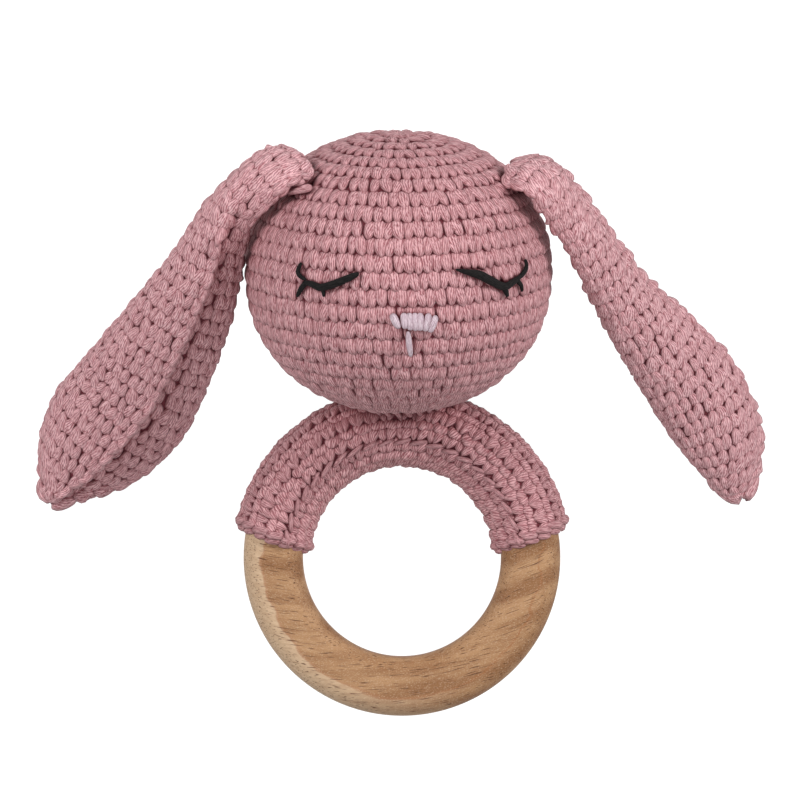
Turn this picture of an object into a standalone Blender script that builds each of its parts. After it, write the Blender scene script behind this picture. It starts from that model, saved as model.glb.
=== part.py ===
"""Crochet bunny rattle sewn onto a wooden teething ring, lying on its back.

+Z is up, away from the surface it lies on, and the face looks up. +Y runs from the ring towards
the crown, and +X is to the right of the face as it is seen. The origin is at the middle of the
footprint, on the surface. Sizes below are in millimetres, and every mesh is written in metres.
"""

import math

import bmesh
import bpy
from mathutils import Vector

MM = 0.001
GAP = 0.3  # left between two pieces that touch

# Wooden ring: a rounded-over square section, so narrow flats stay on its face and back.
RING_CENTRE = Vector((0.5, -27.5, 8.4))
RING_MID_R = 26.42
RING_HALF = 6.08
RING_CORNER_R = 3.9

# Crochet sleeve round the upper half of the ring, with a sewn slit along its inner back edge.
COVER_R = 8.4
COVER_OFFSET = 0.28  # how far the sleeve's section sits outside the wood's
COVER_CLEARANCE = 0.35
COVER_END_DEG = (4.1, 10.6)  # where each end stops, at the sleeve's inner and outer edge
SLIT_DEG = -135.0
SLIT_HALF_DEG = 7.5
SLIT_LIP_R = 7.07  # from the middle of the wood's section to the slit's inner corners
SLIT_CORD_SHIFT = 0.2  # the yarn sits this far outside the middle of the sleeve's wall
SEAM_CORD_R = 0.6

# Head: a stuffed shell of revolution whose crown tips up towards the face.
HEAD_CENTRE = Vector((-0.2, 30.9, 31.0))
HEAD_R = 31.5
HEAD_HALF_LENGTH = 28.9
HEAD_POWER = 2.12  # 2 is an ellipse, more is fuller
HEAD_TILT = math.radians(11.0)
HEAD_WALL = 2.2
CLOSING_R = 3.0

# Rattle capsule at the centre of the head.
CAPSULE_R = 11.0
CAPSULE_WALL = 1.0
LIP_R = 9.7
LIP_WALL = 0.4
LIP_REACH = 1.5
BEAD_R = 2.0
BEAD_LANE = 4.6
BEAD_TRACK_R = 7.0

# Neck: the ring of stitches between the head and the sleeve.
NECK_HALF_WIDTH = 8.6
NECK_HALF_DEPTH = 5.2
NECK_CORD_R = 0.9
EAR_CORD_R = 0.7
EAR_SEAM_REACH = 1.8  # from the thread to the sewn end of the ear
EAR_HINGE_SIDE = Vector((0.0, 0.5, 0.86))
EAR_HINGE_SHARE = 0.7  # from the middle of the sewn end to its top edge

HEAD_SIDE = Vector((1.0, 0.0, 0.0))
HEAD_UP = Vector((0.0, math.cos(HEAD_TILT), math.sin(HEAD_TILT)))
HEAD_FRONT = Vector((0.0, -math.sin(HEAD_TILT), math.cos(HEAD_TILT)))
SLEEVE_TOP = RING_CENTRE + Vector((0.0, RING_MID_R + COVER_OFFSET, 0.0))
NECK_LINE = Vector((0.0, *(HEAD_CENTRE - SLEEVE_TOP).yz)).normalized()

# Ears: stations from the sewn base to the tip, as centre, width, height and roll in degrees. A
# roll lifts the edge nearer the face, so that the base wraps over the side of the head.
RIGHT_EAR = (
    ((24.8, 51.1, 43.2), 10.6, 3.6, 42),
    ((27.4, 50.2, 45.2), 10.8, 4.4, 34),
    ((31.2, 46.9, 45.4), 10.2, 5.0, 22),
    ((37.9, 37.2, 39.6), 10.2, 5.6, 8),
    ((44.4, 26.8, 31.9), 12.2, 6.2, 0),
    ((50.1, 19.3, 25.6), 15.5, 6.8, -4),
    ((56.3, 11.9, 19.1), 18.4, 7.4, -6),
    ((62.6, 3.4, 12.4), 19.8, 7.6, -6),
    ((67.1, -5.2, 7.0), 16.6, 6.8, -3),
    ((69.2, -11.4, 3.3), 10.8, 5.4, 0),
)
LEFT_EAR = (
    ((-21.5, 52.8, 46.0), 12.2, 3.6, 48),
    ((-24.8, 51.6, 47.6), 12.0, 4.4, 38),
    ((-29.3, 48.2, 47.0), 11.2, 5.4, 26),
    ((-34.8, 42.4, 44.2), 10.6, 6.2, 12),
    ((-39.4, 31.8, 37.6), 14.6, 7.2, 0),
    ((-43.2, 24.2, 32.2), 18.4, 8.0, 0),
    ((-48.7, 14.6, 24.6), 22.4, 8.6, 0),
    ((-54.5, 5.6, 17.0), 25.6, 8.8, 0),
    ((-59.6, -0.4, 12.0), 26.4, 8.6, 0),
    ((-64.5, -6.3, 7.6), 23.0, 7.8, 0),
    ((-68.0, -10.6, 4.7), 17.2, 6.4, 0),
    ((-70.6, -14.1, 2.9), 9.4, 5.0, 0),
)
# Section outlines, as shares of the width and the height. The first point is the edge beside
# the head, and they run over the top. The right ear is a shallow arch that curls down on its
# outer side. The left ear is folded lengthwise: a plump roll overhangs the flap beside it.
RIGHT_SECTION = (
    (-0.49, -0.02),
    (-0.40, 0.32),
    (-0.14, 0.50),
    (0.16, 0.42),
    (0.38, 0.14),
    (0.50, -0.26),
    (0.45, -0.48),
    (0.28, -0.22),
    (0.05, -0.04),
    (-0.22, -0.12),
    (-0.40, -0.28),
)
LEFT_SECTION = (
    (-0.50, -0.30),
    (-0.38, -0.10),
    (-0.22, -0.02),
    (-0.10, 0.02),
    (-0.11, 0.26),
    (-0.01, 0.46),
    (0.20, 0.46),
    (0.40, 0.20),
    (0.50, -0.18),
    (0.40, -0.42),
    (0.10, -0.48),
    (-0.25, -0.48),
    (-0.43, -0.46),
)

# Embroidery on the face, as (x, y) points that are laid on the head.
EYE_CORD_R = 0.7
LASH_CORD_R = 0.5
NOSE_CORD_R = 0.38
LEFT_LID = (
    (-8.7, 30.5),
    (-13.6, 28.1),
    (-15.7, 27.3),
    (-19.2, 28.7),
    (-20.7, 30.1),
    (-20.1, 32.3),
)
LEFT_LASHES = (((-20.4, 27.2), (-21.4, 25.5)), ((-15.2, 25.7), (-15.0, 23.9)))
RIGHT_LID = (
    (11.3, 31.1),
    (14.0, 30.5),
    (16.3, 29.4),
    (19.1, 28.2),
    (21.1, 27.5),
    (23.6, 28.7),
    (25.4, 30.6),
    (25.6, 33.2),
)
RIGHT_LASHES = (((21.9, 25.9), (22.0, 24.6)), ((25.1, 27.4), (25.6, 25.9)))
NOSE_STITCHES = (
    ((-1.5, 22.6), (0.1, 19.7)),
    ((0.9, 22.8), (1.3, 19.6)),
    ((2.0, 22.8), (2.3, 19.3)),
    ((3.1, 22.8), (3.3, 19.2)),
    ((4.2, 22.8), (4.2, 19.2)),
    ((6.0, 22.7), (5.1, 19.1)),
    ((7.4, 22.3), (6.1, 18.9)),
)
MOUTH_STITCH = ((1.8, 18.4), (2.0, 16.4), (2.4, 14.2))

# Colour, roughness and metallic of each material.
LOOKS = {
    "beech": ((0.42, 0.26, 0.14), 0.55, 0.0),
    "pink_cotton": ((0.46, 0.24, 0.25), 0.9, 0.0),
    "deep_pink_cotton": ((0.40, 0.19, 0.20), 0.9, 0.0),
    "pale_cotton": ((0.62, 0.47, 0.54), 0.85, 0.0),
    "black_cotton": ((0.02, 0.016, 0.016), 0.9, 0.0),
    "fibre_fill": ((0.85, 0.85, 0.83), 0.95, 0.0),
    "rattle_plastic": ((0.8, 0.8, 0.78), 0.35, 0.0),
    "steel": ((0.6, 0.6, 0.6), 0.3, 1.0),
}


def clear_scene():
    for obj in list(bpy.data.objects):
        bpy.data.objects.remove(obj, do_unlink=True)


def make_looks():
    looks = {}
    for name, (colour, roughness, metallic) in LOOKS.items():
        look = bpy.data.materials.new(name)
        look.use_nodes = True
        shader = look.node_tree.nodes["Principled BSDF"]
        shader.inputs["Base Color"].default_value = (*colour, 1.0)
        shader.inputs["Roughness"].default_value = roughness
        shader.inputs["Metallic"].default_value = metallic
        looks[name] = look
    return looks


def make_pivot(name, point):
    """An empty on a joint's axis, which the pieces that turn there are parented to."""
    pivot = bpy.data.objects.new(name, None)
    pivot.location = point * MM
    bpy.context.collection.objects.link(pivot)
    return pivot


def place(obj, look, pivot):
    obj.data.materials.append(look)
    obj.parent = pivot
    bpy.context.collection.objects.link(obj)
    return obj


def add_mesh(name, points, faces, look, pivot):
    """A closed mesh from points in the part's frame, with its origin at the pivot."""
    origin = pivot.location / MM
    mesh = bpy.data.meshes.new(name)
    mesh.from_pydata([(point - origin) * MM for point in points], [], faces)
    shape = bmesh.new()
    shape.from_mesh(mesh)
    bmesh.ops.recalc_face_normals(shape, faces=shape.faces)
    shape.to_mesh(mesh)
    shape.free()
    mesh.shade_smooth()
    mesh.set_sharp_from_angle(angle=math.radians(40))
    return place(bpy.data.objects.new(name, mesh), look, pivot)


def add_cord(name, points, radius, look, pivot, closed=False):
    """A round thread along points in the part's frame."""
    origin = pivot.location / MM
    curve = bpy.data.curves.new(name, "CURVE")
    curve.dimensions = "3D"
    curve.bevel_depth = radius * MM
    curve.bevel_resolution = 2
    curve.use_fill_caps = not closed
    line = curve.splines.new("POLY")
    line.points.add(len(points) - 1)
    for knot, point in zip(line.points, points):
        knot.co = (*((point - origin) * MM), 1.0)
    line.use_cyclic_u = closed
    return place(bpy.data.objects.new(name, curve), look, pivot)


def smooth_path(points, steps, closed=False):
    """A Catmull-Rom curve through points of any dimension, with steps samples a stretch."""
    count = len(points)
    stretches = count if closed else count - 1
    path = []
    for i in range(stretches):
        if closed:
            a, b, c, d = (Vector(points[(i + k) % count]) for k in (-1, 0, 1, 2))
        else:
            a, b, c, d = (Vector(points[min(max(i + k, 0), count - 1)]) for k in (-1, 0, 1, 2))
        for step in range(steps):
            t = step / steps
            slope = c - a
            bend = 2 * a - 5 * b + 4 * c - d
            twist = 3 * b - a - 3 * c + d
            path.append(0.5 * (2 * b + slope * t + bend * t**2 + twist * t**3))
    if not closed:
        path.append(Vector(points[-1]))
    return path


def loft(sections, closed=False):
    """Points and faces of a skin over equal rings of points, capped unless it closes on itself."""
    ring = len(sections[0])
    count = len(sections)
    points = [point for section in sections for point in section]
    faces = []
    for i in range(count if closed else count - 1):
        here = i * ring
        there = (i + 1) % count * ring
        for k in range(ring):
            after = (k + 1) % ring
            faces.append((here + k, here + after, there + after, there + k))
    if not closed:
        faces.append(tuple(range(ring)))
        faces.append(tuple(range((count - 1) * ring, count * ring)))
    return points, faces


def turned(profile, segments):
    """Spins (radius, height) points about the head's own axis. Ends at radius 0 close the shape."""
    points = []
    rows = []
    for radius, height in profile:
        middle = HEAD_CENTRE + HEAD_UP * height
        if radius == 0:
            rows.append([len(points)] * segments)
            points.append(middle)
            continue
        rows.append(list(range(len(points), len(points) + segments)))
        for i in range(segments):
            turn = math.tau * i / segments
            outward = HEAD_SIDE * math.cos(turn) + HEAD_FRONT * math.sin(turn)
            points.append(middle + radius * outward)
    faces = []
    pairs = list(zip(rows, rows[1:]))
    if profile[0][0] > 0:
        pairs.append((rows[-1], rows[0]))
    for upper, lower in pairs:
        for i in range(segments):
            after = (i + 1) % segments
            corners = (upper[i], lower[i], lower[after], upper[after])
            faces.append(tuple(dict.fromkeys(corners)))
    return points, faces


def head_profile(inset, low, high, steps):
    """(radius, height) points on the head's outline, from the latitude low to high in degrees."""
    outline = []
    for i in range(steps + 1):
        angle = math.radians(low + (high - low) * i / steps)
        share = 2 / HEAD_POWER
        radius = (HEAD_R - inset) * abs(math.cos(angle)) ** share
        height = (HEAD_HALF_LENGTH - inset) * math.copysign(abs(math.sin(angle)) ** share, angle)
        outline.append((radius, height))
    return outline


def leave_head(start, direction, lift):
    """Where a straight line from a point inside the head comes to stand lift outside it."""
    low = 0.0
    high = HEAD_R * 1.2
    for _ in range(40):
        reach = (low + high) / 2
        offset = start + direction * reach - HEAD_CENTRE
        across = math.hypot(offset.x, offset.dot(HEAD_FRONT)) / (HEAD_R + lift)
        along = abs(offset.dot(HEAD_UP)) / (HEAD_HALF_LENGTH + lift)
        if across**HEAD_POWER + along**HEAD_POWER < 1:
            low = reach
        else:
            high = reach
    return start + direction * low


def on_head(x, y, lift):
    """The point over (x, y) that stands lift above the front of the head."""
    return leave_head(Vector((x, y, HEAD_CENTRE.z)), Vector((0, 0, 1)), lift)


def rounded_square(grow):
    """The wood's section, grown by a clearance, as (outwards, up) points."""
    reach = RING_HALF - RING_CORNER_R
    outline = []
    for corner in range(4):
        turn = math.radians(90 * corner)
        centre = (
            reach * math.copysign(1, math.cos(turn + math.pi / 4)),
            reach * math.copysign(1, math.sin(turn + math.pi / 4)),
        )
        for step in range(4):
            angle = turn + math.radians(30 * step)
            radius = RING_CORNER_R + grow
            outline.append((centre[0] + radius * math.cos(angle), centre[1] + radius * math.sin(angle)))
    return outline


def ring_point(turn, outwards, up):
    reach = RING_MID_R + outwards
    return RING_CENTRE + Vector((reach * math.cos(turn), reach * math.sin(turn), up))


def make_wooden_ring(looks, pivot):
    segments = 56
    sections = []
    for i in range(segments):
        turn = math.tau * i / segments
        sections.append([ring_point(turn, *corner) for corner in rounded_square(0.0)])
    add_mesh("wooden_ring", *loft(sections, closed=True), looks["beech"], pivot)


def sleeve_angle(share, outwards):
    """The angle round the ring of a share of the sleeve's length. Its ends slope."""
    slope = (outwards - COVER_OFFSET + COVER_R) / (2 * COVER_R)
    start = math.radians(COVER_END_DEG[0] + (COVER_END_DEG[1] - COVER_END_DEG[0]) * slope)
    return start + (math.pi - 2 * start) * share


def sleeve_section():
    """A C-shaped section: the outer round, and back along the wood from slit edge to slit edge."""
    outer = []
    steps = 18
    for i in range(steps + 1):
        angle = math.radians(SLIT_DEG + SLIT_HALF_DEG + (360 - 2 * SLIT_HALF_DEG) * i / steps)
        outer.append((COVER_OFFSET + COVER_R * math.cos(angle), COVER_R * math.sin(angle)))
    inner = rounded_square(COVER_CLEARANCE)

    def turn_past_slit(corner):
        return (math.degrees(math.atan2(corner[1], corner[0])) - SLIT_DEG) % 360

    edge = 2 * SLIT_HALF_DEG
    kept = sorted((c for c in inner if edge < turn_past_slit(c) < 360 - edge), key=turn_past_slit)
    lips = []
    for side in (-1, 1):
        angle = math.radians(SLIT_DEG + side * SLIT_HALF_DEG)
        lips.append((SLIT_LIP_R * math.cos(angle), SLIT_LIP_R * math.sin(angle)))
    return outer + lips[:1] + kept[::-1] + lips[1:]


def make_cover(looks, pivot):
    stations = 24
    section = sleeve_section()
    sections = []
    for i in range(stations + 1):
        sections.append([ring_point(sleeve_angle(i / stations, out), out, up) for out, up in section])
    add_mesh("ring_cover", *loft(sections), looks["deep_pink_cotton"], pivot)
    depth = (COVER_R + SLIT_LIP_R) / 2 + SLIT_CORD_SHIFT
    turn = math.radians(SLIT_DEG)
    out, up = COVER_OFFSET / 2 + depth * math.cos(turn), depth * math.sin(turn)
    path = [ring_point(sleeve_angle(i / stations, out), out, up) for i in range(stations + 1)]
    add_cord("cover_seam", path, SEAM_CORD_R, looks["deep_pink_cotton"], pivot)


def neck_middle():
    """The middle of the gap between the head and the sleeve, on the line of their centres."""
    chin = leave_head(HEAD_CENTRE, -NECK_LINE, 0.0)
    chin.x = SLEEVE_TOP.x
    return (chin + SLEEVE_TOP + NECK_LINE * COVER_R) / 2


def make_neck_seam(looks, pivot):
    count = 28
    middle = pivot.location / MM
    depth_axis = HEAD_SIDE.cross(NECK_LINE)
    # The gap bends round the sleeve on one side and the head on the other: half of each bend.
    sag = (1 / COVER_R - 1 / HEAD_HALF_LENGTH) / 4
    points = []
    for i in range(count):
        turn = math.tau * i / count
        wide = NECK_HALF_WIDTH * math.cos(turn)
        deep = NECK_HALF_DEPTH * math.sin(turn)
        points.append(middle + Vector((wide, 0, 0)) + depth_axis * deep - NECK_LINE * sag * deep**2)
    add_cord("neck_seam", points, NECK_CORD_R, looks["pink_cotton"], pivot, closed=True)


def make_head(looks, pivot):
    hole = math.degrees(math.acos((CLOSING_R / HEAD_R) ** (HEAD_POWER / 2)))
    steps = 15
    outer = head_profile(0.0, -hole, 90, steps)
    inner = head_profile(HEAD_WALL, -hole, 90, steps)
    outer[-1] = (0, HEAD_HALF_LENGTH)
    inner[-1] = (0, HEAD_HALF_LENGTH - HEAD_WALL)
    points, faces = turned(outer[::-1] + inner, 28)
    for point in points:
        point.z = max(point.z, 0.0)
    add_mesh("head_shell", points, faces, looks["pink_cotton"], pivot)
    plug_r = CLOSING_R - GAP - 0.1
    plug_low = -HEAD_HALF_LENGTH + 0.2
    plug_high = plug_low + HEAD_WALL - GAP
    plug = [(0, plug_high), (plug_r, plug_high), (plug_r, plug_low), (0, plug_low)]
    add_mesh("closing_stitch", *turned(plug, 12), looks["pink_cotton"], pivot)


def capsule_arc(radius, low, high, steps):
    """(radius, height) points on a sphere about the head's centre, from latitude low to high."""
    arc = []
    for i in range(steps + 1):
        angle = math.radians(low + (high - low) * i / steps)
        arc.append((radius * math.cos(angle), radius * math.sin(angle)))
    return arc


def close_pole(profile):
    return [(0 if radius < 1e-6 else radius, height) for radius, height in profile]


def make_stuffing(looks, pivot):
    """Two handfuls of fill, packed over and under the rattle, which sits in a pocket in them."""
    inset = HEAD_WALL + GAP
    pocket = CAPSULE_R + GAP
    crown = close_pole(head_profile(inset, 90, 1, 8) + capsule_arc(pocket, 1.5, 90, 6))
    neck = close_pole(capsule_arc(pocket, -90, -1.5, 6) + head_profile(inset, -1, -90, 8))
    add_mesh("crown_stuffing", *turned(crown, 20), looks["fibre_fill"], pivot)
    add_mesh("neck_stuffing", *turned(neck, 20), looks["fibre_fill"], pivot)


def make_capsule(looks, pivot):
    """Two snapped halves. The base half carries a lip that stands inside the lid half."""
    inner = CAPSULE_R - CAPSULE_WALL
    lid = close_pole(capsule_arc(CAPSULE_R, 90, 1, 7) + capsule_arc(inner, 1, 90, 7))
    lip = [(LIP_R - LIP_WALL, -0.6), (LIP_R - LIP_WALL, LIP_REACH), (LIP_R, LIP_REACH), (LIP_R, -0.4)]
    base = close_pole(capsule_arc(inner, -90, -6, 7) + lip + capsule_arc(CAPSULE_R, -1, -90, 7))
    add_mesh("rattle_lid", *turned(lid, 20), looks["rattle_plastic"], pivot)
    add_mesh("rattle_base", *turned(base, 20), looks["rattle_plastic"], pivot)


def make_beads(looks):
    """Three shot, each at the bottom of its own way round the inside of the capsule."""
    pivot = make_pivot("rattle_centre", HEAD_CENTRE)
    for i, lane in enumerate((-BEAD_LANE, 0.0, BEAD_LANE)):
        name = f"rattle_bead_{i + 1}"
        track = math.sqrt(BEAD_TRACK_R**2 - lane**2)
        mesh = bpy.data.meshes.new(name)
        shape = bmesh.new()
        bmesh.ops.create_icosphere(shape, subdivisions=2, radius=BEAD_R * MM)
        bmesh.ops.translate(shape, verts=shape.verts, vec=(lane * MM, 0, -track * MM))
        shape.to_mesh(mesh)
        shape.free()
        mesh.shade_smooth()
        place(bpy.data.objects.new(name, mesh), looks["steel"], pivot)


def ear_sections(stations, outline, mirror):
    """Rings of points along an ear. Each section stands square to the ear's own run."""
    knots = smooth_path([(*centre, *size) for centre, *size in stations], 2)
    centres = [Vector(knot[:3]) for knot in knots]
    shape = smooth_path(outline, 2, closed=True)
    sections = []
    for i, knot in enumerate(knots):
        run = centres[min(i + 1, len(knots) - 1)] - centres[max(i - 1, 0)]
        run.normalize()
        across = run.cross(Vector((0, 0, 1))).normalized() * -mirror
        rise = run.cross(across).normalized() * -mirror
        if rise.z < 0:
            rise.negate()
        roll = math.radians(knot[5])
        rolled = across * math.cos(roll) - rise * math.sin(roll)
        rise = rise * math.cos(roll) + across * math.sin(roll)
        across = rolled
        sections.append([centres[i] + across * a * knot[3] + rise * b * knot[4] for a, b in shape])
    return sections


def ear_hinge(stations, outline, mirror):
    """The middle of the top edge of an ear's sewn end, where the ear folds up from the head."""
    end = ear_sections(stations, outline, mirror)[0]
    middle = sum(end, Vector((0, 0, 0))) / len(end)
    top = max(end, key=lambda point: (point - middle).dot(EAR_HINGE_SIDE))
    return middle.lerp(top, EAR_HINGE_SHARE)


def round_tip(sections, reach):
    """Adds three shrinking rings, the last one a small cap, for a rounded end."""
    last = sections[-1]
    middle = sum(last, Vector((0, 0, 0))) / len(last)
    before = sections[-2]
    run = (middle - sum(before, Vector((0, 0, 0))) / len(before)).normalized()
    for share in (0.5, 0.8, 0.95):
        shrink = math.sqrt(1 - share**2)
        sections.append([middle + (point - middle) * shrink + run * reach * share for point in last])
    return sections


def make_ear(name, stations, outline, mirror, tip_reach, looks, pivot, head_pivot):
    sections = round_tip(ear_sections(stations, outline, mirror), tip_reach)
    make_ear_seam(f"{name}_seam", sections, looks, head_pivot)
    points, faces = loft(sections)
    for point in points:
        point.z = max(point.z, GAP)
    add_mesh(name, points, faces, looks["pink_cotton"], pivot)


def make_ear_seam(name, sections, looks, pivot):
    """The whipped thread between an ear's sewn end and the head, beside the end's lower half."""
    end = sections[0]
    middle = sum(end, Vector((0, 0, 0))) / len(end)
    inward = middle - sum(sections[2], Vector((0, 0, 0))) / len(end)
    inward.z = 0
    inward.normalize()
    front = min(end, key=lambda point: point.y)
    back = max(end, key=lambda point: point.y)
    points = []
    for share in (0.02, 0.18, 0.34, 0.5):
        along = front.lerp(back, share)
        across = along + inward * (EAR_CORD_R + EAR_SEAM_REACH)
        points.append(on_head(across.x, across.y, EAR_CORD_R + GAP))
    add_cord(name, smooth_path(points, 2), EAR_CORD_R, looks["pink_cotton"], pivot)


def add_face_cord(name, outline, radius, look, pivot):
    """A thread laid on the head over (x, y) points."""
    path = [on_head(x, y, radius + GAP) for x, y in smooth_path(outline, 3)]
    add_cord(name, path, radius, look, pivot)


def make_face(looks, pivot):
    black = looks["black_cotton"]
    for side, lid, lashes in (("left", LEFT_LID, LEFT_LASHES), ("right", RIGHT_LID, RIGHT_LASHES)):
        add_face_cord(f"{side}_eyelid", lid, EYE_CORD_R, black, pivot)
        for i, lash in enumerate(lashes):
            add_face_cord(f"{side}_lash_{i + 1}", lash, LASH_CORD_R, black, pivot)
    for i, stitch in enumerate(NOSE_STITCHES):
        add_face_cord(f"nose_stitch_{i + 1}", stitch, NOSE_CORD_R, looks["pale_cotton"], pivot)
    add_face_cord("mouth_stitch", MOUTH_STITCH, NOSE_CORD_R, looks["pale_cotton"], pivot)


def main():
    clear_scene()
    looks = make_looks()
    ring_pivot = make_pivot("ring_turn_axis", RING_CENTRE)
    neck_pivot = make_pivot("neck_axis", neck_middle())
    make_wooden_ring(looks, ring_pivot)
    make_cover(looks, ring_pivot)
    make_neck_seam(looks, neck_pivot)
    make_head(looks, neck_pivot)
    make_stuffing(looks, neck_pivot)
    make_capsule(looks, neck_pivot)
    make_beads(looks)
    right_pivot = make_pivot("right_ear_axis", ear_hinge(RIGHT_EAR, RIGHT_SECTION, 1))
    left_pivot = make_pivot("left_ear_axis", ear_hinge(LEFT_EAR, LEFT_SECTION, -1))
    make_ear("right_ear", RIGHT_EAR, RIGHT_SECTION, 1, 4.2, looks, right_pivot, neck_pivot)
    make_ear("left_ear", LEFT_EAR, LEFT_SECTION, -1, 3.2, looks, left_pivot, neck_pivot)
    make_face(looks, neck_pivot)


main()
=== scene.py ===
"""Looks for the crochet bunny rattle on its beech teething ring, seen from straight above."""

import math

import bpy
import numpy as np
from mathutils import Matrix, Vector


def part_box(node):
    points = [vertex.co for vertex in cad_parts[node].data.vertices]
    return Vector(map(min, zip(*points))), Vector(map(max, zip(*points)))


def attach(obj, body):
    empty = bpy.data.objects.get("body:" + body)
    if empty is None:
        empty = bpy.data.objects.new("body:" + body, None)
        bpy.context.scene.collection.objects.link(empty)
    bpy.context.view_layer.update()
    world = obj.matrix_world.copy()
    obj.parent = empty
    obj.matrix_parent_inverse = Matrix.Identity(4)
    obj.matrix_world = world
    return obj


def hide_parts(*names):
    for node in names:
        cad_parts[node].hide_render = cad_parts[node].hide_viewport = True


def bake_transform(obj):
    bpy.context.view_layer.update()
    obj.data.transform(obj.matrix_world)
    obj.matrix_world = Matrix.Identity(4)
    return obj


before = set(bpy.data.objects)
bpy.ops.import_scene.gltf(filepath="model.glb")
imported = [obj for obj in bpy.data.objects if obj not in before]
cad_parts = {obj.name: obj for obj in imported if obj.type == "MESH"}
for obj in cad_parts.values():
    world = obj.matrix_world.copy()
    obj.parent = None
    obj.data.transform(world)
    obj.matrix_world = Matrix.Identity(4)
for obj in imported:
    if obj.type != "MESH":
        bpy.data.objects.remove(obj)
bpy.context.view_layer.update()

MM = 0.001  # every size is in millimetres unless its comment says otherwise, and MM turns it into metres
RNG = np.random.default_rng(12)

# Yarn and gauge. A stitch is two legs of yarn.
STITCH_WIDE = 4.1
ROUND_DEEP = 3.5
EAR_ROUND_DEEP = 3.3
LEG_HALF_WIDTH = 1.13
LEG_HALF_HEIGHT = 0.78
LEG_SIDES = 8
STRAND_SIDES = 10
FIBRE_SHIFT = 40.0  # each strand's fibres start at their own place within this length
HEAD_LEAN = 0.12  # how far a stitch slants across in one round, in stitches
EAR_LEAN = 0.15
COVER_LEAN = 0.12
HEAD_RELIEF = 1.3  # how deep the rounds dip between their ridges
EAR_RELIEF = 0.95
COVER_RELIEF = 1.1
HEAD_INCREASE = 6  # a round of the head has a whole number of these stitches
HEAD_MOST_STITCHES = 48
HEAD_DRIFT = 0.45  # how far each round starts after the one above, in stitches
HEAD_DRIFT_SPREAD = 0.16  # how much more or less than that, at random
EAR_DRIFT = 0.04  # how far each round of an ear starts after the last, in turns
EAR_LEAST_STITCHES = 5
CREVICE_SHADE_REACH = 1.8  # painted shade: how far off yarn still darkens the yarn beside it to its gap colour
SHELTER_SHADE_REACH = 18.0  # painted shade: how far off a neighbouring piece still darkens and reddens the yarn
# The painted shade's tint, multiplied into the yarn's colour near a neighbouring piece.
SHELTER_SHADE_TINT = (0.56, 0.36, 0.37)

# The sheet behind the stitches, dark red as painted shade in the gaps: its depth, and how many
# points its grid has round and along.
HEAD_BACKING_DEPTH = 1.05
EAR_BACKING_DEPTH = 1.0
COVER_BACKING_DEPTH = 0.95
HEAD_GRID = (96, 60)
EAR_GRID = (64, 70)
COVER_GRID = (60, 60)

# Wooden ring.
RING_CENTRE = np.array([0.5, -27.5, 8.4])
RING_MID_R = 26.42
RING_HALF = 6.08
RING_CORNER_R = 3.9
RING_CORNER_POINTS = 12
RING_SEGMENTS = 160

# The ring's cover. Angles round its section start at its outer side and turn upwards.
COVER_R = 8.4
COVER_OFFSET = 0.28
COVER_END_DEG = (4.1, 10.6)  # how far up the ring its ends start, at the inner and the outer side
SLIT_END_DEG = (-127.5, 217.5)  # where the cloth's two edges are, round the section
COVER_STITCH_WIDE = 3.3
COVER_YARN_SCALE = 1.2
COVER_SPAN = 2.9  # how far the cover reaches round the ring, in radians
COVER_FIRST = 0.014  # where its rows start, and how far they run, in shares of its length
COVER_SHARE = 0.972
# Each row is where it starts round the section, in degrees, and how open its stitches are.
COVER_ROWS = (
    (-127.5, 0.0),
    (-112.0, 0.8),
    (-88.0, 0.8),
    (-64.0, 0.8),
    (-40.0, 0.8),
    (-16.0, 0.8),
    (2.0, 0.3),
    (20.0, 1.75),
    (45.0, 0.1),
    (56.0, 1.75),
    (79.0, 0.1),
    (89.0, 1.75),
    (109.0, 1.3),
    (128.0, 0.2),
    (146.0, 0.4),
    (166.0, 0.6),
    (190.0, 0.6),
    (217.5, 0.0),
)
# Strands over the rows: a line of loops, two lines round each end, and the seam.
COVER_LOOPS = 21
COVER_LOOPS_DEG = 111
COVER_LOOP_R = 0.52
COVER_END_STRANDS = 15
COVER_END_YARN_R = 0.85
COVER_SEAM_STITCHES = 34
COVER_SEAM_DEG = -135
COVER_SEAM_YARN_R = 0.6

# Head: its width is the frame's shell's.
HEAD_LOW, HEAD_HIGH = (np.array(corner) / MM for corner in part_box("head_shell"))
HEAD_R = (HEAD_HIGH[0] - HEAD_LOW[0]) / 2
HEAD_HALF_LENGTH = HEAD_R * 0.9175
HEAD_POWER = 2.12  # 2 is an ellipse, and more is squarer
HEAD_TILT = math.radians(11.0)
HEAD_CENTRE = np.array([-0.2, 30.9, 31.0])
HEAD_UP = np.array([0.0, math.cos(HEAD_TILT), math.sin(HEAD_TILT)])
HEAD_FRONT = np.array([0.0, -math.sin(HEAD_TILT), math.cos(HEAD_TILT)])
HEAD_SIDE = np.array([1.0, 0.0, 0.0])

# Ears: stations from the sewn base to the tip, as centre, width, height and roll in degrees.
EAR_STEPS = 6
EAR_ROOT_REACH = 3.0  # how far the rounded root goes past the first station
GROUND_GAP = 0.8  # an ear never sags lower than this, and eases onto it over the next length
GROUND_EASE = 2.0
EAR_FOLD = (0.12, 0.42)  # where the base section turns into the body section, in shares of the run
RIGHT_EAR = (
    ((24.8, 51.1, 43.2), 10.6, 3.6, 42),
    ((27.4, 50.2, 45.2), 10.8, 4.4, 34),
    ((31.2, 46.9, 45.4), 10.2, 5.0, 22),
    ((37.9, 37.2, 39.6), 10.2, 5.6, 8),
    ((44.4, 26.8, 31.9), 12.2, 6.2, 0),
    ((50.1, 19.3, 25.6), 15.5, 6.8, -4),
    ((56.3, 11.9, 19.1), 18.4, 7.4, -6),
    ((62.6, 3.4, 12.4), 19.8, 7.6, -6),
    ((67.1, -5.2, 7.0), 16.6, 6.8, -3),
    ((69.2, -11.4, 3.3), 10.8, 5.4, 0),
)
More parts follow.
